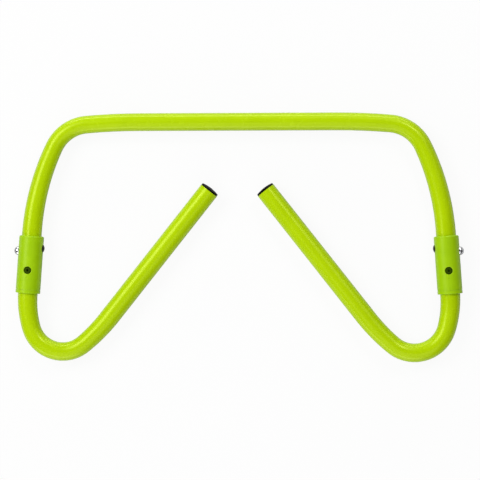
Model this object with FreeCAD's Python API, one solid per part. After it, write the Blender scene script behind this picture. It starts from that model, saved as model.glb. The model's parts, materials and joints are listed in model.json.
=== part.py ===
import FreeCAD, Part
import math
import os

# Folding speed hurdle, folded flat and lying on the floor: a bent frame tube, and at each end of it
# a sleeve that holds a J-shaped foot. X runs along the crossbar, Y from the feet towards the
# crossbar, Z up. The origin is on the floor, in the middle of the hurdle's outline.
# Sizes are in millimetres and angles in degrees.

V = FreeCAD.Vector

# Tube stock: legs and feet keep the full diameter, the crossbar and the bends are drawn thinner
TUBE_OD = 20.0
TUBE_WALL = 2.0
BAR_OD = 18.0
BEND_OD = 18.8

# Frame tube, from the middle of the crossbar outwards
BAR_STRAIGHT = 200.0
LEAD_RADIUS = 634.0
LEAD_ANGLE = 4.9
CORNER_RADIUS = 40.0
LEG_RADIUS = 246.0
LEG_ANGLE = 21.2
LEG_LEAN = 4.0
LEG_ABOVE_SLEEVE = 2.7

# Foot tube, from the sleeve outwards
HEEL_RADIUS = 103.5
HEEL_ANGLE = 19.6
BEND_RADIUS = 33.4
INSTEP_RADIUS = 189.0
INSTEP_ANGLE = 11.8
FOOT_STRAIGHT = 162.9
FOOT_ANGLE = 51.7
FOOT_SWIVEL = 90.0

# Sleeve
SLEEVE_WALL = 2.42
SLEEVE_LENGTH = 58.25
SLEEVE_TOP_ROUND = 1.5
SLEEVE_FOOT_ROUND = 0.5
SLEEVE_MOUTH_BEVEL = 0.4
LEDGE_THICKNESS = 1.6
LEDGE_WIDTH = 3.0
LEG_INSERT = 27.5
TRIM_GROOVE_HEIGHT = 3.3
TRIM_GROOVE_WIDTH = 0.8
TRIM_GROOVE_DEPTH = 0.3
GATE_MARK_OD = 2.4
GATE_MARK_DEPTH = 0.2
GATE_MARK_BELOW_SCREW = 7.6

# The most of the sleeve's wall that its rounded top and its other eased edges may take
TOP_ROUND_SHARE = 0.7
EDGE_SHARE = 0.25

# Snap clip inside the leg, with its two buttons, and how far each sits below the sleeve's top
CLIP_WIDTH = 6.0
CLIP_THICKNESS = 0.6
CLIP_TAIL = 6.0
OUTER_BUTTON_OD = 8.5
OUTER_BUTTON_CROWN = 4.2
OUTER_BUTTON_DROP = 15.9
INNER_BUTTON_OD = 8.0
INNER_BUTTON_CROWN = 1.5
INNER_BUTTON_DROP = 12.1
RIVET_OD = 3.0
RIVET_HEAD_OD = 4.6
RIVET_HEAD_HEIGHT = 0.6

# Guide screw in the sleeve, whose point runs in the foot tube's slot. Its head is a sunk flange with
# a raised middle.
SCREW_OD = 7.6
SCREW_DROP = 34.85
SCREW_RECESS = 0.9
SCREW_EDGE_ROUND = 0.6
FLANGE_RECESS = 1.7
MIDDLE_OD = 5.0
POINT_OD = 5.0
POINT_PAST_WALL = 0.6
SOCKET_ACROSS_FLATS = 2.5
SOCKET_DEPTH = 2.2
SOCKET_SIDES = 6

# Friction ring round the foot tube
RING_SECTION = 1.2
RING_HEIGHT = 8.0

# End cap of the foot
CAP_RIM = 2.0
CAP_CROWN = 1.3
CAP_EDGE_INSET = 0.3
CAP_WALL = 1.6
CAP_RIB_HEIGHT = 0.7
CAP_RIB_LENGTH = 1.4
CAP_RIB_SPACE = 2.4
CAP_RIB_COUNT = 3

# Fits, each a gap per side
RUNNING_CLEARANCE = 0.08
RING_CLEARANCE = 0.05
PRESS_CLEARANCE = 0.03
BUTTON_CLEARANCE = 0.10
SLOT_CLEARANCE = 0.15
END_CLEARANCE = 0.30
CLIP_CLEARANCE = 0.10

# Sizes that follow
TUBE_RADIUS = TUBE_OD / 2
TUBE_BORE = TUBE_RADIUS - TUBE_WALL
SLEEVE_BORE = TUBE_RADIUS + RUNNING_CLEARANCE
SLEEVE_RADIUS = SLEEVE_BORE + SLEEVE_WALL
AXIS_HEIGHT = SLEEVE_RADIUS
CORNER_ANGLE = 90.0 - LEG_LEAN - LEG_ANGLE - LEAD_ANGLE
BEND_ANGLE = 90.0 + LEG_LEAN + FOOT_ANGLE - HEEL_ANGLE - INSTEP_ANGLE
LEG_END = SLEEVE_LENGTH - LEG_INSERT
FOOT_TOP = LEG_END - LEDGE_THICKNESS - END_CLEARANCE
OUTER_BUTTON_HEIGHT = SLEEVE_LENGTH - OUTER_BUTTON_DROP
INNER_BUTTON_HEIGHT = SLEEVE_LENGTH - INNER_BUTTON_DROP
SCREW_HEIGHT = SLEEVE_LENGTH - SCREW_DROP
CLIP_REACH = math.sqrt((TUBE_BORE - CLIP_CLEARANCE) ** 2 - (CLIP_WIDTH / 2) ** 2)
SCREW_SEAT = SLEEVE_BORE + RUNNING_CLEARANCE
SCREW_TOP = SLEEVE_RADIUS - SCREW_RECESS
FLANGE_TOP = SLEEVE_RADIUS - FLANGE_RECESS
POINT_END = TUBE_BORE - POINT_PAST_WALL
SLOT_WIDTH = POINT_OD + 2 * SLOT_CLEARANCE
THROUGH = 2 * SLEEVE_RADIUS
SAME_PLACE = 1e-4


class Path:
    """Straight runs and tangent arcs in the plane of the tubes, from a point and a heading."""

    def __init__(self, start, heading):
        self.point = start
        self.heading = heading
        self.runs = []

    def direction(self):
        angle = math.radians(self.heading)
        return V(math.cos(angle), math.sin(angle), 0)

    def straight(self, length):
        start = self.point
        self.point = start + self.direction() * length
        self.runs.append(Part.LineSegment(start, self.point).toShape())

    def arc(self, radius, turn):
        """An arc that turns left by a positive number of degrees."""
        start = self.point
        centre = start + V(0, 0, 1).cross(self.direction()) * radius
        spoke = start - centre
        half = FreeCAD.Rotation(V(0, 0, 1), turn / 2).multVec(spoke)
        self.point = centre + FreeCAD.Rotation(V(0, 0, 1), turn).multVec(spoke)
        self.heading += turn
        self.runs.append(Part.Arc(start, centre + half, self.point).toShape())
        return centre


def swept(runs, radii):
    """A solid of round section along the runs, with a radius at each of their ends."""
    pieces = []
    for run, first, last in zip(runs, radii, radii[1:]):
        sweep = Part.BRepOffsetAPI.MakePipeShell(Part.Wire([run]))
        sweep.setBiNormalMode(V(0, 0, 1))
        start = run.valueAt(run.FirstParameter)
        sweep.add(Part.Wire([Part.makeCircle(first, start, run.tangentAt(run.FirstParameter))]))
        if first != last:
            end = run.valueAt(run.LastParameter)
            sweep.add(Part.Wire([Part.makeCircle(last, end, run.tangentAt(run.LastParameter))]))
        sweep.build()
        sweep.makeSolid()
        pieces.append(sweep.shape())
    return pieces[0].multiFuse(pieces[1:]).removeSplitter()


def tube(runs, diameters):
    """A hollow tube along the runs, with an outside diameter at each of their ends."""
    outside = swept(runs, [d / 2 for d in diameters])
    inside = swept(runs, [d / 2 - TUBE_WALL for d in diameters])
    return outside.cut(inside)


def turned(start, steps, crown):
    """A solid turned about X: steps of (radius, length) outwards from start, closed by a dome."""
    points = [V(start, 0, 0)]
    along = start
    for radius, length in steps:
        points.append(V(along, radius, 0))
        along += length
        points.append(V(along, radius, 0))
    edges = [Part.LineSegment(a, b).toShape() for a, b in zip(points, points[1:])]
    rim = points[-1]
    tip = V(along + crown, 0, 0)
    if crown > 0:
        ball = (rim.y ** 2 + crown ** 2) / (2 * crown)
        middle = tip.x - ball
        half = math.atan2(rim.y, rim.x - middle) / 2
        shoulder = V(middle + ball * math.cos(half), ball * math.sin(half), 0)
        edges.append(Part.Arc(rim, shoulder, tip).toShape())
    else:
        edges.append(Part.LineSegment(rim, tip).toShape())
    edges.append(Part.LineSegment(tip, points[0]).toShape())
    return Part.Face(Part.Wire(edges)).revolve(V(0, 0, 0), V(1, 0, 0), 360)


def rod(radius, length, base, direction):
    return Part.makeCylinder(radius, length, base, direction)


def ring(outer, inner, height, base):
    """A plain ring about the sleeve's axis."""
    along = V(0, 0, 1)
    return rod(outer, height, V(0, 0, base), along).cut(rod(inner, height, V(0, 0, base), along))


def rim_edges(solid, radius, height):
    """The round edges of a solid about the sleeve's axis, at one radius and height."""
    found = []
    for edge in solid.Edges:
        box = edge.BoundBox
        level = abs(box.ZMin - height) < SAME_PLACE and abs(box.ZMax - height) < SAME_PLACE
        if level and abs(box.XMax - radius) < SAME_PLACE:
            found.append(edge)
    return found


def front_hole_edges(solid, radius, height):
    """The edges where a hole drilled from the front opens in the sleeve's outside."""
    found = []
    for edge in solid.Edges:
        middle = edge.valueAt((edge.FirstParameter + edge.LastParameter) / 2)
        from_hole = math.hypot(middle.x, middle.z - height)
        from_axis = math.hypot(middle.x, middle.y)
        on_wall = abs(from_hole - radius) < SAME_PLACE and abs(from_axis - SLEEVE_RADIUS) < SAME_PLACE
        if middle.y > 0 and on_wall:
            found.append(edge)
    return found


# Layout of the left half: the frame's path, the sleeve's place, and the foot's path
def left_frame_path(bar_y):
    path = Path(V(0, bar_y, AXIS_HEIGHT), 180.0)
    path.straight(BAR_STRAIGHT / 2)
    path.arc(LEAD_RADIUS, LEAD_ANGLE)
    path.arc(CORNER_RADIUS, CORNER_ANGLE)
    path.arc(LEG_RADIUS, LEG_ANGLE)
    path.straight(LEG_ABOVE_SLEEVE + LEG_INSERT)
    return path


def left_foot_path(sleeve_foot):
    """The foot's path from its top inside the sleeve, and the middle of its bend."""
    path = Path(sleeve_foot + LEG_UP * FOOT_TOP, 270.0 - LEG_LEAN)
    path.straight(FOOT_TOP)
    path.arc(HEEL_RADIUS, HEEL_ANGLE)
    bend_middle = path.arc(BEND_RADIUS, BEND_ANGLE)
    path.arc(INSTEP_RADIUS, INSTEP_ANGLE)
    path.straight(FOOT_STRAIGHT)
    return path, bend_middle


def left_sleeve_foot(frame_path):
    return frame_path.point - LEG_UP * LEG_END


def centred_bar_y():
    """Where the crossbar runs if the origin is in the middle of the outline."""
    foot = left_foot_path(left_sleeve_foot(left_frame_path(0.0)))
    bottom = foot[1].y - BEND_RADIUS - BEND_OD / 2
    return -(BAR_OD / 2 + bottom) / 2


LEG_UP = V(math.sin(math.radians(LEG_LEAN)), math.cos(math.radians(LEG_LEAN)), 0)
BAR_Y = centred_bar_y()
frame_path = left_frame_path(BAR_Y)
SLEEVE_FOOT = left_sleeve_foot(frame_path)
foot_path = left_foot_path(SLEEVE_FOOT)[0]

# The sleeve's own axes: X outboard, Y to the front, Z up the leg, from the middle of its lower rim
outboard = V(-math.cos(math.radians(LEG_LEAN)), math.sin(math.radians(LEG_LEAN)), 0)
SLEEVE_PLACE = FreeCAD.Placement(SLEEVE_FOOT, FreeCAD.Rotation(outboard, V(0, 0, 1), LEG_UP, "XYZ"))


def on_left(shape):
    """A shape in the sleeve's axes, put in its place on the left leg."""
    placed = shape.copy()
    placed.Placement = SLEEVE_PLACE.multiply(placed.Placement)
    return placed


def on_right(shape):
    return shape.mirror(V(0, 0, 0), V(1, 0, 0))


def button_holes():
    """What the two buttons need clear through the leg and the sleeve."""
    outer = rod(OUTER_BUTTON_OD / 2 + BUTTON_CLEARANCE, THROUGH, V(0, 0, OUTER_BUTTON_HEIGHT), V(1, 0, 0))
    inner = rod(INNER_BUTTON_OD / 2 + BUTTON_CLEARANCE, THROUGH, V(0, 0, INNER_BUTTON_HEIGHT), V(-1, 0, 0))
    return outer.fuse(inner)


def make_frame_tube():
    diameters = [BAR_OD, BAR_OD, BAR_OD, BAR_OD, TUBE_OD, TUBE_OD]
    half = tube(frame_path.runs, diameters).cut(on_left(button_holes()))
    return half.fuse(on_right(half)).removeSplitter()


def make_foot_tube():
    diameters = [TUBE_OD, TUBE_OD, BEND_OD, BEND_OD, TUBE_OD, TUBE_OD]
    return tube(foot_path.runs, diameters).cut(on_left(swivel_slot()))


def swivel_slot():
    """The slot that the guide screw's point runs in, from the front round to the inboard side."""
    level = V(0, 0, SCREW_HEIGHT)
    first = rod(SLOT_WIDTH / 2, THROUGH, level, V(0, 1, 0))
    last = first.copy()
    last.rotate(V(0, 0, 0), V(0, 0, 1), FOOT_SWIVEL)
    lower = SCREW_HEIGHT - SLOT_WIDTH / 2
    upper = SCREW_HEIGHT + SLOT_WIDTH / 2
    corners = [V(0, 0, lower), V(0, THROUGH, lower), V(0, THROUGH, upper), V(0, 0, upper), V(0, 0, lower)]
    sweep = Part.Face(Part.makePolygon(corners)).revolve(V(0, 0, 0), V(0, 0, 1), FOOT_SWIVEL)
    return first.multiFuse([last, sweep])


def make_sleeve():
    up = V(0, 0, 1)
    body = rod(SLEEVE_RADIUS, SLEEVE_LENGTH, V(0, 0, 0), up)
    ledge_base = LEG_END - LEDGE_THICKNESS
    body = body.cut(rod(SLEEVE_BORE, ledge_base, V(0, 0, 0), up))
    body = body.cut(rod(SLEEVE_BORE, LEG_INSERT, V(0, 0, LEG_END), up))
    body = body.cut(rod(SLEEVE_BORE - LEDGE_WIDTH, LEDGE_THICKNESS, V(0, 0, ledge_base), up))
    top_round = min(SLEEVE_TOP_ROUND, TOP_ROUND_SHARE * SLEEVE_WALL)
    body = body.makeFillet(top_round, rim_edges(body, SLEEVE_RADIUS, SLEEVE_LENGTH))
    foot_round = min(SLEEVE_FOOT_ROUND, EDGE_SHARE * SLEEVE_WALL)
    body = body.makeFillet(foot_round, rim_edges(body, SLEEVE_RADIUS, 0.0))
    mouth_bevel = min(SLEEVE_MOUTH_BEVEL, EDGE_SHARE * SLEEVE_WALL)
    for height in (0.0, SLEEVE_LENGTH):
        body = body.makeChamfer(mouth_bevel, rim_edges(body, SLEEVE_BORE, height))
    groove_floor = SLEEVE_RADIUS - TRIM_GROOVE_DEPTH
    body = body.cut(ring(THROUGH, groove_floor, TRIM_GROOVE_WIDTH, TRIM_GROOVE_HEIGHT))
    seat = SLEEVE_BORE + RING_SECTION
    body = body.cut(ring(seat, SLEEVE_BORE - LEDGE_WIDTH, RING_SECTION + 2 * RING_CLEARANCE, ring_base()))
    body = body.cut(button_holes())
    screw_hole = SCREW_OD / 2 + PRESS_CLEARANCE
    body = body.cut(rod(screw_hole, THROUGH, V(0, 0, SCREW_HEIGHT), V(0, 1, 0)))
    hole_round = min(SCREW_EDGE_ROUND, EDGE_SHARE * SLEEVE_WALL)
    body = body.makeFillet(hole_round, front_hole_edges(body, screw_hole, SCREW_HEIGHT))
    mark_level = V(0, SLEEVE_RADIUS - GATE_MARK_DEPTH, SCREW_HEIGHT - GATE_MARK_BELOW_SCREW)
    return body.cut(rod(GATE_MARK_OD / 2, THROUGH, mark_level, V(0, 1, 0)))


def ring_base():
    return RING_HEIGHT - RING_SECTION / 2 - RING_CLEARANCE


def make_friction_ring():
    middle = TUBE_RADIUS + RING_CLEARANCE + RING_SECTION / 2
    return Part.makeTorus(middle, RING_SECTION / 2, V(0, 0, RING_HEIGHT), V(0, 0, 1))


def make_guide_screw():
    steps = [(POINT_OD / 2, SCREW_SEAT - POINT_END), (SCREW_OD / 2, FLANGE_TOP - SCREW_SEAT)]
    steps.append((MIDDLE_OD / 2, SCREW_TOP - FLANGE_TOP))
    screw = turned(POINT_END, steps, 0.0)
    corner = SOCKET_ACROSS_FLATS / 2 / math.cos(math.pi / SOCKET_SIDES)
    corners = []
    for side in range(SOCKET_SIDES + 1):
        angle = 2 * math.pi * side / SOCKET_SIDES
        corners.append(V(SCREW_TOP, corner * math.cos(angle), corner * math.sin(angle)))
    socket = Part.Face(Part.makePolygon(corners)).extrude(V(-SOCKET_DEPTH, 0, 0))
    screw = screw.cut(socket)
    screw.rotate(V(0, 0, 0), V(0, 0, 1), 90)
    screw.translate(V(0, 0, SCREW_HEIGHT))
    return screw


def make_clip_spring():
    """A strip bent to a U, its bow up the leg and a hole for a button's rivet in each arm."""
    bow_level = SLEEVE_LENGTH
    edge_y = -CLIP_WIDTH / 2
    across = V(0, 1, 0)
    bow = rod(CLIP_REACH, CLIP_WIDTH, V(0, edge_y, bow_level), across)
    bow = bow.cut(rod(CLIP_REACH - CLIP_THICKNESS, CLIP_WIDTH, V(0, edge_y, bow_level), across))
    below = V(-CLIP_REACH, edge_y, bow_level - CLIP_REACH)
    strip = [bow.cut(Part.makeBox(2 * CLIP_REACH, CLIP_WIDTH, CLIP_REACH, below))]
    for side, height in ((1, OUTER_BUTTON_HEIGHT), (-1, INNER_BUTTON_HEIGHT)):
        tail = height - CLIP_TAIL
        edge_x = CLIP_REACH - CLIP_THICKNESS if side > 0 else -CLIP_REACH
        arm = Part.makeBox(CLIP_THICKNESS, CLIP_WIDTH, bow_level - tail, V(edge_x, edge_y, tail))
        rivet_hole = rod(RIVET_OD / 2 + PRESS_CLEARANCE, THROUGH, V(0, 0, height), V(side, 0, 0))
        strip.append(arm.cut(rivet_hole))
    return strip[0].multiFuse(strip[1:]).removeSplitter()


def make_button(diameter, crown, height):
    """A domed button riveted to its arm of the clip, pointing along X."""
    start = CLIP_REACH - CLIP_THICKNESS - RIVET_HEAD_HEIGHT
    steps = [(RIVET_HEAD_OD / 2, RIVET_HEAD_HEIGHT), (RIVET_OD / 2, CLIP_THICKNESS)]
    steps.append((diameter / 2, SLEEVE_RADIUS - CLIP_REACH))
    button = turned(start, steps, crown)
    button.translate(V(0, 0, height))
    return button


def make_outer_button():
    return make_button(OUTER_BUTTON_OD, OUTER_BUTTON_CROWN, OUTER_BUTTON_HEIGHT)


def make_inner_button():
    button = make_button(INNER_BUTTON_OD, INNER_BUTTON_CROWN, INNER_BUTTON_HEIGHT)
    button.rotate(V(0, 0, 0), V(0, 0, 1), 180)
    return button


def make_foot_cap():
    """A hollow ribbed plug with a low dome, in the free end of the foot tube."""
    rib = TUBE_BORE - PRESS_CLEARANCE
    core = rib - CAP_RIB_HEIGHT
    barrel = [(core, CAP_RIB_SPACE), (rib, CAP_RIB_LENGTH)] * CAP_RIB_COUNT + [(core, CAP_RIB_SPACE)]
    depth = sum(length for radius, length in barrel)
    cap = turned(-depth, barrel + [(TUBE_RADIUS - CAP_EDGE_INSET, CAP_RIM)], CAP_CROWN)
    cap = cap.cut(rod(core - CAP_WALL, depth, V(-depth, 0, 0), V(1, 0, 0)))
    cap.rotate(V(0, 0, 0), V(0, 0, 1), foot_path.heading)
    cap.translate(foot_path.point)
    return cap


def export(node, shape):
    if not shape.isValid() or len(shape.Solids) != 1:
        raise RuntimeError(node + " is not one sound solid")
    shape.Solids[0].exportStep("parts/" + node + ".step")
    print(node, round(shape.Volume / 1000, 2), "cm3")


os.makedirs("parts", exist_ok=True)
left_pieces = {
    "sleeve": on_left(make_sleeve()),
    "friction_ring": on_left(make_friction_ring()),
    "guide_screw": on_left(make_guide_screw()),
    "clip_spring": on_left(make_clip_spring()),
    "outer_button": on_left(make_outer_button()),
    "inner_button": on_left(make_inner_button()),
    "foot_tube": make_foot_tube(),
    "foot_cap": make_foot_cap(),
}
export("frame_tube", make_frame_tube())
for name, shape in left_pieces.items():
    export("left_" + name, shape)
    export("right_" + name, on_right(shape))
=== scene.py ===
import json
import math

import bpy
from mathutils import Color, Euler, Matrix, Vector

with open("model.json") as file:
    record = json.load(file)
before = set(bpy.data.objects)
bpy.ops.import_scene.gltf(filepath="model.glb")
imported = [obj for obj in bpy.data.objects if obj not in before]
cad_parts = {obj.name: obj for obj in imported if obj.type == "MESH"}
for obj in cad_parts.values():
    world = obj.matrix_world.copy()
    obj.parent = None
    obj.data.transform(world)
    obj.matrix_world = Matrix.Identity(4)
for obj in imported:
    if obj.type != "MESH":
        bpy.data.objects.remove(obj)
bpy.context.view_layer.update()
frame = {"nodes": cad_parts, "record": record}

# Looks of a speed hurdle, lying folded on a white floor and seen from almost straight above.
# Lengths are in metres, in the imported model's frame: X along the crossbar, Y towards it, Z up.

# Camera: the middle and the width of what it sees at the height of the tubes' axes, how far it
# leans over towards +X in degrees, its distance, and its sensor in millimetres
TUBE_AXIS_HEIGHT = 0.0125
VIEW_MIDDLE = (0.00259, -0.00284)
VIEW_WIDTH = 0.4852
VIEW_LEAN = 4.0
CAMERA_DISTANCE = 2.05
SENSOR_WIDTH = 36.0

# Floor: the grey that lights the object from below, the white that the camera and reflections see,
# and how much of the camera's white comes without shade. It is flat to its radius, and beyond that
# it rises to a rim, so that low views have a white backdrop.
FLOOR_GREY = (0.36, 0.36, 0.36, 1.0)
FLOOR_WHITE = (0.80, 0.80, 0.80, 1.0)
FLOOR_WHITE_SHARE = 0.92
FLOOR_SIDES = 48
FLOOR_RADIUS = 6.0
RIM_RADIUS = 9.0
RIM_HEIGHT = 3.5

# Soft light: the world all round, then the panels with bearing from +X, height angle, distance,
# width, height, and the level, which is what each adds to a white card that faces it
WORLD_COLOUR = (1.0, 1.0, 1.0, 1.0)
WORLD_LEVEL = 0.10
PANELS = {
    "top_panel": (93.0, 9.0, 1.90, 2.40, 0.42, 0.46),
    "right_corner_panel": (54.0, 45.0, 2.40, 0.50, 0.50, 0.16),
    "right_fill_panel": (60.0, 38.0, 2.60, 2.40, 1.20, 0.19),
    "left_panel": (153.0, 47.0, 2.30, 1.50, 1.10, 0.62),
    "low_front_panel": (254.0, 14.0, 2.00, 2.40, 0.80, 0.46),
    "front_panel": (270.0, 50.0, 2.60, 2.60, 2.60, 0.37),
}

# Colours as they look under white light, from 0 to the top value
COLOUR_TOP = 255.0
TUBE_LIME = (178, 211, 2)
TUBE_LIME_DEEP = (174, 207, 0)
TUBE_LIME_PALE = (188, 218, 24)
SLEEVE_LIME = (160, 203, 4)
SLEEVE_LIME_DEEP = (154, 198, 1)
SLEEVE_LIME_PALE = (184, 218, 56)
NICKEL = (218, 218, 221)
NICKEL_DULL = (178, 179, 182)
OXIDE = (40, 43, 38)
OXIDE_WORN = (96, 97, 92)
# The guide screws' dark olive is painted shade: it stands in for the shadow deep in the screw's
# recess
PAINTED_SHADE_OLIVE = (44, 70, 1)
OLIVE_WORN = (96, 128, 8)
CAP_BLACK = (6, 6, 6)
CAP_BLACK_WORN = (26, 26, 27)
STRIP_STEEL = (160, 162, 166)
STRIP_STEEL_BLUE = (120, 128, 142)
RUBBER = (26, 26, 27)
RUBBER_DUSTY = (52, 51, 49)

# Tints of the gloss, and of the nickel towards its rim, where the near-black tint is painted
# shade: a dark ring in the reflection
TUBE_GLOSS_TINT = (1.0, 1.0, 0.26, 1.0)
SLEEVE_GLOSS_TINT = (1.0, 1.0, 0.5, 1.0)
OLIVE_GLOSS_TINT = (1.0, 1.0, 0.3, 1.0)
NICKEL_RIM_PAINTED_SHADE_TINT = (0.08, 0.08, 0.09, 1.0)

# How far scuffs, worn edges and dust cover what is under them
TUBE_SCUFF_SHARE = 0.15
TUBE_WEAR_SHARE = 0.5
SLEEVE_WEAR_SHARE = 0.6
OLIVE_WEAR_SHARE = 0.7
CAP_DUST_SHARE = 0.3

# Depths of surface relief are counted in this
MICRON = 0.000001

# How many looks around a point find the edges near it
BEVEL_SAMPLES = 6

# Where a colour mix keeps its two colours among its inputs and the result among its outputs, and
# where a shader mix keeps its two shaders
MIX_FIRST, MIX_SECOND, MIX_RESULT = 6, 7, 2
BLEND_FIRST, BLEND_SECOND = 1, 2


def linear(colour):
    """A colour from 0 to the top value, as a shader takes it."""
    shares = Color([value / COLOUR_TOP for value in colour])
    return (*shares.from_srgb_to_scene_linear(), 1.0)


class Surface:
    """A material built from nodes, in the object's own coordinates in metres."""

    def __init__(self, name):
        self.material = bpy.data.materials.new(name)
        self.material.use_nodes = True
        self.tree = self.material.node_tree
        self.shader = self.tree.nodes["Principled BSDF"]

    def add(self, kind, inputs=None, **settings):
        """A node with its settings, and each input linked or set."""
        node = self.tree.nodes.new(kind)
        for name, value in settings.items():
            setattr(node, name, value)
        for name, value in (inputs or {}).items():
            self.give(node.inputs[name], value)
        return node

    def give(self, socket, value):
        """Links an input to another node's output, or sets it to a value."""
        if isinstance(value, bpy.types.NodeSocket):
            self.tree.links.new(value, socket)
        else:
            socket.default_value = value

    def pair(self, kind, first, second, **settings):
        """The outputs of a node that works on two like inputs, the first two that it has."""
        node = self.add(kind, **settings)
        self.give(node.inputs[0], first)
        self.give(node.inputs[1], second)
        return node.outputs

    def times(self, first, second):
        return self.pair("ShaderNodeMath", first, second, operation="MULTIPLY")[0]

    def larger(self, first, second):
        return self.pair("ShaderNodeMath", first, second, operation="MAXIMUM")[0]

    def noise(self, size, detail=3.0, stretch=(1.0, 1.0, 1.0)):
        """Cloudy values from 0 to 1, with blotches of about this size, drawn out by stretch."""
        scale = tuple(1.0 / s for s in stretch)
        place = self.add("ShaderNodeTexCoord").outputs["Object"]
        place = self.add("ShaderNodeMapping", {"Vector": place, "Scale": scale}).outputs[0]
        inputs = {"Vector": place, "Scale": 1.0 / size, "Detail": detail}
        return self.add("ShaderNodeTexNoise", inputs).outputs["Fac"]

    def spread(self, value, low, high, to_low=0.0, to_high=1.0):
        """Values from low to high, moved smoothly to another range."""
        inputs = {
            "Value": value,
            "From Min": low,
            "From Max": high,
            "To Min": to_low,
            "To Max": to_high,
        }
        node = self.add("ShaderNodeMapRange", inputs, interpolation_type="SMOOTHSTEP")
        return node.outputs["Result"]

    def mix(self, share, first, second):
        """The first colour, and the second where share is 1."""
        node = self.add("ShaderNodeMix", data_type="RGBA")
        self.give(node.inputs["Factor"], share)
        self.give(node.inputs[MIX_FIRST], first)
        self.give(node.inputs[MIX_SECOND], second)
        return node.outputs[MIX_RESULT]

    def blend(self, share, first, second):
        """The first shader, and the second where share is 1."""
        node = self.add("ShaderNodeMixShader", {"Fac": share})
        self.give(node.inputs[BLEND_FIRST], first)
        self.give(node.inputs[BLEND_SECOND], second)
        return node.outputs[0]

    def edges(self, radius, sharpest):
        """1 along edges that a rounding of this radius would ease, fading to 0 on open faces."""
        bevel = self.add("ShaderNodeBevel", {"Radius": radius}, samples=BEVEL_SAMPLES)
        eased = bevel.outputs["Normal"]
        plain = self.add("ShaderNodeNewGeometry").outputs["Normal"]
        agreement = self.pair("ShaderNodeVectorMath", eased, plain, operation="DOT_PRODUCT")
        return self.spread(agreement["Value"], low=1.0, high=sharpest)

    def worn_edges(self, radius, sharpest, patch, low, high):
        """The edges, broken up into patches of about this size."""
        return self.times(self.edges(radius, sharpest), self.spread(self.noise(patch), low, high))

    def bumps(self, *layers):
        """Small relief from layers of (height values, depth in metres)."""
        normal = None
        for height, depth in layers:
            inputs = {"Height": height, "Strength": 1.0, "Distance": depth}
            if normal is not None:
                inputs["Normal"] = normal
            normal = self.add("ShaderNodeBump", inputs).outputs["Normal"]
        self.give(self.shader.inputs["Normal"], normal)

    def finish(self, **values):
        """Links or sets the shader's own inputs, named with _ for a space."""
        for name, value in values.items():
            self.give(self.shader.inputs[name.replace("_", " ")], value)
        return self.material


def gloss_lime():
    """The tubes: glossy lime plastic, faintly clouded, with light handling scuffs."""
    s = Surface("gloss_lime")
    cloud = s.spread(s.noise(size=0.035), low=0.30, high=0.70)
    scuff = s.noise(size=0.006, detail=5.0, stretch=(1.0, 4.0, 1.0))
    scuff = s.times(s.spread(scuff, low=0.62, high=0.78), TUBE_SCUFF_SHARE)
    worn = s.worn_edges(radius=0.0006, sharpest=0.90, patch=0.002, low=0.35, high=0.65)
    colour = s.mix(cloud, linear(TUBE_LIME_DEEP), linear(TUBE_LIME))
    colour = s.mix(scuff, colour, linear(TUBE_LIME_PALE))
    colour = s.mix(s.times(worn, TUBE_WEAR_SHARE), colour, linear(TUBE_LIME_PALE))
    grain = s.noise(size=0.003, detail=2.0)
    waves = s.noise(size=0.015, detail=2.0)
    s.bumps((grain, 2 * MICRON), (waves, 10 * MICRON))
    gloss = s.noise(size=0.008, detail=4.0)
    return s.finish(
        Base_Color=colour,
        Roughness=s.spread(gloss, low=0.25, high=0.75, to_low=0.22, to_high=0.29),
        Specular_IOR_Level=0.5,
        Specular_Tint=TUBE_GLOSS_TINT,
    )


def satin_lime():
    """The sleeves: moulded lime plastic with a fine grained face and paler handled edges."""
    s = Surface("satin_lime")
    cloud = s.spread(s.noise(size=0.012), low=0.30, high=0.70)
    worn = s.worn_edges(radius=0.0007, sharpest=0.88, patch=0.0015, low=0.25, high=0.60)
    colour = s.mix(cloud, linear(SLEEVE_LIME_DEEP), linear(SLEEVE_LIME))
    colour = s.mix(s.times(worn, SLEEVE_WEAR_SHARE), colour, linear(SLEEVE_LIME_PALE))
    grain = s.noise(size=0.0006, detail=2.0)
    waves = s.noise(size=0.005, detail=2.0)
    s.bumps((grain, 5 * MICRON), (waves, 10 * MICRON))
    gloss = s.noise(size=0.004, detail=4.0)
    return s.finish(
        Base_Color=colour,
        Roughness=s.spread(gloss, low=0.25, high=0.75, to_low=0.30, to_high=0.42),
        Specular_IOR_Level=0.4,
        Specular_Tint=SLEEVE_GLOSS_TINT,
    )


def bright_nickel():
    """The outer buttons: polished nickel with a fine grain and dull rubbed patches, and a painted
    dark ring of shade at the rim.
    """
    s = Surface("bright_nickel")
    dull = s.spread(s.noise(size=0.0015, detail=4.0), low=0.50, high=0.75)
    s.bumps((s.noise(size=0.0004, detail=2.0), 2 * MICRON))
    return s.finish(
        Base_Color=s.mix(dull, linear(NICKEL), linear(NICKEL_DULL)),
        Metallic=1.0,
        Roughness=s.spread(dull, low=0.0, high=1.0, to_low=0.10, to_high=0.24),
        # Painted shade: the near-black edge tint darkens the reflection round the button's rim
        Specular_Tint=NICKEL_RIM_PAINTED_SHADE_TINT,
    )


def olive_painted_shade():
    """The guide screws: dark olive, which is painted shade for the deep shadow in their recess,
    rubbed paler on the edges of the socket.
    """
    s = Surface("olive_painted_shade")
    worn = s.worn_edges(radius=0.0003, sharpest=0.85, patch=0.0008, low=0.30, high=0.60)
    s.bumps((s.noise(size=0.0005), 4 * MICRON))
    return s.finish(
        # The dark olive base is painted shade for the recess; the paler edges are rubbing
        Base_Color=s.mix(s.times(worn, OLIVE_WEAR_SHARE), linear(PAINTED_SHADE_OLIVE), linear(OLIVE_WORN)),
        Roughness=s.spread(s.noise(size=0.001), low=0.3, high=0.7, to_low=0.42, to_high=0.55),
        Specular_IOR_Level=0.15,
        Specular_Tint=OLIVE_GLOSS_TINT,
    )


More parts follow.
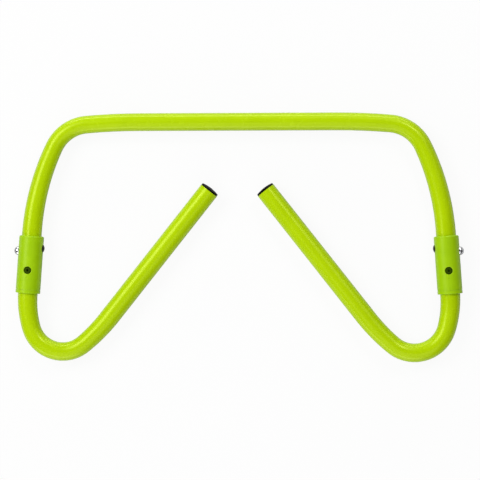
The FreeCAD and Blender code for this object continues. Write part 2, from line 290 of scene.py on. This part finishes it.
def black_oxide():
    """The inner buttons: blackened steel, rubbed grey on its edges."""
    s = Surface("black_oxide")
    worn = s.worn_edges(radius=0.0003, sharpest=0.90, patch=0.0008, low=0.30, high=0.60)
    s.bumps((s.noise(size=0.0005), 4 * MICRON))
    return s.finish(
        Base_Color=s.mix(worn, linear(OXIDE), linear(OXIDE_WORN)),
        Metallic=0.85,
        Roughness=s.spread(s.noise(size=0.001), low=0.3, high=0.7, to_low=0.28, to_high=0.42),
    )


def moulded_black():
    """The foot caps: black plastic with a fine grain, greyer at the rim."""
    s = Surface("moulded_black")
    dust = s.spread(s.noise(size=0.003, detail=4.0), low=0.45, high=0.75)
    worn = s.worn_edges(radius=0.0005, sharpest=0.85, patch=0.0012, low=0.30, high=0.60)
    colour = s.mix(s.times(dust, CAP_DUST_SHARE), linear(CAP_BLACK), linear(CAP_BLACK_WORN))
    s.bumps((s.noise(size=0.0006, detail=2.0), 30 * MICRON))
    return s.finish(
        Base_Color=s.mix(worn, colour, linear(CAP_BLACK_WORN)),
        Roughness=s.spread(s.noise(size=0.002), low=0.3, high=0.7, to_low=0.38, to_high=0.52),
        Specular_IOR_Level=0.06,
    )


def spring_strip():
    """The clip springs: rolled steel strip with a blue cast from hardening."""
    s = Surface("spring_strip")
    cast = s.spread(s.noise(size=0.004), low=0.35, high=0.65)
    rolled = s.noise(size=0.0004, stretch=(1.0, 12.0, 1.0))
    s.bumps((rolled, 4 * MICRON))
    return s.finish(
        Base_Color=s.mix(cast, linear(STRIP_STEEL), linear(STRIP_STEEL_BLUE)),
        Metallic=1.0,
        Roughness=s.spread(rolled, low=0.3, high=0.7, to_low=0.25, to_high=0.40),
    )


def black_rubber():
    """The friction rings: soft black rubber, a little dusty."""
    s = Surface("black_rubber")
    dust = s.spread(s.noise(size=0.001, detail=4.0), low=0.40, high=0.70)
    s.bumps((s.noise(size=0.0003, detail=2.0), 10 * MICRON))
    return s.finish(
        Base_Color=s.mix(dust, linear(RUBBER), linear(RUBBER_DUSTY)),
        Roughness=s.spread(dust, low=0.0, high=1.0, to_low=0.65, to_high=0.85),
    )


def dress_nodes():
    """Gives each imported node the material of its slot."""
    looks = {
        "tube_green": gloss_lime(),
        "sleeve_green": satin_lime(),
        "bright_steel": bright_nickel(),
        "dark_steel": black_oxide(),
        "screw_olive": olive_painted_shade(),
        "cap_black": moulded_black(),
        "spring_steel": spring_strip(),
        "ring_rubber": black_rubber(),
    }
    for subpart in frame["record"]["subparts"]:
        node = frame["nodes"][subpart["node"]]
        node.material_slots[0].material = looks[subpart["material_slot"]]


def floor_white():
    """White to the camera, faintly shaded, and in reflections; grey to all other rays."""
    s = Surface("floor_white")
    # The floor's glow is only for the camera, so it isn't sampled as a lamp
    s.material.cycles.emission_sampling = "NONE"
    s.tree.nodes.remove(s.shader)
    rays = s.add("ShaderNodeLightPath").outputs
    grey = s.add("ShaderNodeBsdfDiffuse", {"Color": FLOOR_GREY}).outputs[0]
    shaded = s.add("ShaderNodeBsdfDiffuse", {"Color": FLOOR_WHITE}).outputs[0]
    unshaded = s.add("ShaderNodeEmission").outputs[0]
    white = s.blend(s.times(rays["Is Camera Ray"], FLOOR_WHITE_SHARE), shaded, unshaded)
    mirrored = s.larger(rays["Is Glossy Ray"], rays["Is Transmission Ray"])
    seen = s.larger(rays["Is Camera Ray"], mirrored)
    s.give(s.tree.nodes["Material Output"].inputs["Surface"], s.blend(seen, grey, white))
    return s.material


def add_floor():
    """A wide round floor with a far rim, which shows the object's shadow faintly."""
    turns = [2.0 * math.pi * side / FLOOR_SIDES for side in range(FLOOR_SIDES)]
    inner = [(FLOOR_RADIUS * math.cos(t), FLOOR_RADIUS * math.sin(t), 0.0) for t in turns]
    outer = [(RIM_RADIUS * math.cos(t), RIM_RADIUS * math.sin(t), RIM_HEIGHT) for t in turns]
    faces = [tuple(range(FLOOR_SIDES))]
    for side in range(FLOOR_SIDES):
        after = (side + 1) % FLOOR_SIDES
        faces.append((side, FLOOR_SIDES + side, FLOOR_SIDES + after, after))
    mesh = bpy.data.meshes.new("floor")
    mesh.from_pydata(inner + outer, [], faces)
    mesh.materials.append(floor_white())
    floor = bpy.data.objects.new("floor", mesh)
    bpy.context.scene.collection.objects.link(floor)


def add_lights():
    """The world's even light, and the soft panels, which all face the middle of the floor."""
    scene = bpy.context.scene
    scene.world = bpy.data.worlds.new("studio")
    scene.world.use_nodes = True
    sky = scene.world.node_tree.nodes["Background"].inputs
    sky["Color"].default_value = WORLD_COLOUR
    sky["Strength"].default_value = WORLD_LEVEL
    for name, (bearing, height_angle, distance, width, height, level) in PANELS.items():
        lamp = bpy.data.lights.new(name, "AREA")
        lamp.shape = "RECTANGLE"
        lamp.size = width
        lamp.size_y = height
        # The power that brings a white card on the floor's middle, facing the panel, to its level
        lamp.energy = level * (math.pi * distance) ** 2
        panel = bpy.data.objects.new(name, lamp)
        around, above = math.radians(bearing), math.radians(height_angle)
        flat = math.cos(above)
        towards = Vector((math.cos(around) * flat, math.sin(around) * flat, math.sin(above)))
        panel.location = towards * distance
        panel.rotation_euler = towards.to_track_quat("Z", "Y").to_euler()
        scene.collection.objects.link(panel)


def add_camera():
    """A camera above the hurdle, leaning over to one side."""
    lens = bpy.data.cameras.new("camera")
    lens.sensor_width = SENSOR_WIDTH
    lens.lens = SENSOR_WIDTH * CAMERA_DISTANCE / VIEW_WIDTH
    camera = bpy.data.objects.new("camera", lens)
    lean = Euler((0.0, math.radians(VIEW_LEAN), 0.0))
    middle = Vector((*VIEW_MIDDLE, TUBE_AXIS_HEIGHT))
    camera.rotation_euler = lean
    camera.location = middle + lean.to_matrix() @ Vector((0.0, 0.0, CAMERA_DISTANCE))
    bpy.context.scene.collection.objects.link(camera)
    bpy.context.scene.camera = camera


bpy.context.scene.view_settings.view_transform = "Standard"
dress_nodes()
add_floor()
add_lights()
add_camera()
